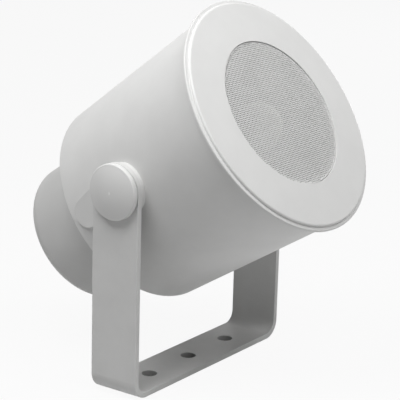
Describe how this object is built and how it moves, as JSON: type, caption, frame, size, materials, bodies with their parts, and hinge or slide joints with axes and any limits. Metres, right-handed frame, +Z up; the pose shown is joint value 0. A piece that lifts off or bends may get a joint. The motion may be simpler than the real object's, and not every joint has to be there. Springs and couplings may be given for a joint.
{
  "type": "loudspeaker",
  "caption": "Sound projector loudspeaker: tapered round housing with a front ring, perforated grille and rear cap, tilting on side bolts in a steel U-bracket.",
  "frame": {"origin": "under the middle of the bracket's base, on the surface that it stands on", "axes": "+Z up, X along the two side bolts, the grille faces -Y and upwards"},
  "size_m": [0.1646, 0.2133, 0.2303],
  "materials": {
    "housing_plastic": "moulded, fine satin",
    "ring_plastic": "moulded, fine satin",
    "cover_plastic": "moulded, smooth satin",
    "bracket_paint": "powder coat on steel",
    "grille_paint": "powder coat on perforated steel",
    "zinc_steel": "zinc plated",
    "brass": "turned",
    "driver_paint": "black paint on pressed steel",
    "magnet_steel": "zinc plated",
    "ferrite": "sintered ferrite",
    "cone_paper": "pressed paper pulp",
    "surround_rubber": "moulded",
    "spider_cloth": "resin treated weave",
    "coil_former_metal": "foil",
    "copper_wire": "enamelled wire",
    "foam": "closed cell foam",
    "seal_rubber": "moulded",
    "fibre": "pressed fibre",
    "lamination": "varnished sheets",
    "bobbin_plastic": "moulded nylon",
    "winding_tape": "polyester tape over copper",
    "terminal_plastic": "moulded nylon",
    "tag_board": "phenolic board with tinned tags",
    "lead_pvc": "PVC insulation"
  },
  "bodies": {
    "bracket": {"mounting_bracket": "bracket_paint", "friction_washer_left": "fibre", "friction_washer_right": "fibre"},
    "head": {"housing": "housing_plastic", "front_ring": "ring_plastic", "grille": "grille_paint", "driver_gasket": "foam", "driver_basket": "driver_paint", "driver_screws": "zinc_steel", "driver_terminals": "tag_board", "driver_leads": "lead_pvc", "cone_surround": "surround_rubber", "spider": "spider_cloth", "magnet_top_plate": "magnet_steel", "magnet_ring": "ferrite", "magnet_yoke": "magnet_steel", "rear_cap": "housing_plastic", "rear_cap_seal": "seal_rubber", "rear_cap_screws": "zinc_steel", "cable_grommet": "seal_rubber", "transformer_core": "lamination", "transformer_bobbin": "bobbin_plastic", "transformer_winding": "winding_tape", "transformer_frame": "zinc_steel", "transformer_screws": "zinc_steel", "terminal_block": "terminal_plastic", "terminal_screws": "zinc_steel", "pivot_insert_left": "brass", "pivot_insert_right": "brass", "pivot_bolt_left": "zinc_steel", "pivot_bolt_right": "zinc_steel", "pivot_washer_left": "zinc_steel", "pivot_washer_right": "zinc_steel", "pivot_cover_left": "cover_plastic", "pivot_cover_right": "cover_plastic"},
    "moving_coil": {"cone": "cone_paper", "dust_cap": "cone_paper", "coil_former": "coil_former_metal", "coil_winding": "copper_wire"}
  },
  "joints": [
    {"name": "head_tilt", "type": "hinge", "parent": "bracket", "child": "head", "pos_m": [0, 0, 0.1263], "axis": [-1, 0, 0], "range_deg": [-95, 200]},
    {"name": "cone_travel", "type": "slide", "parent": "head", "child": "moving_coil", "axis": [0, -0.8192, 0.5736], "range_m": [-0.0015, 0.0015], "stiffness_N_per_m": 1500, "deforming": ["cone_surround", "spider"]}
  ]
}
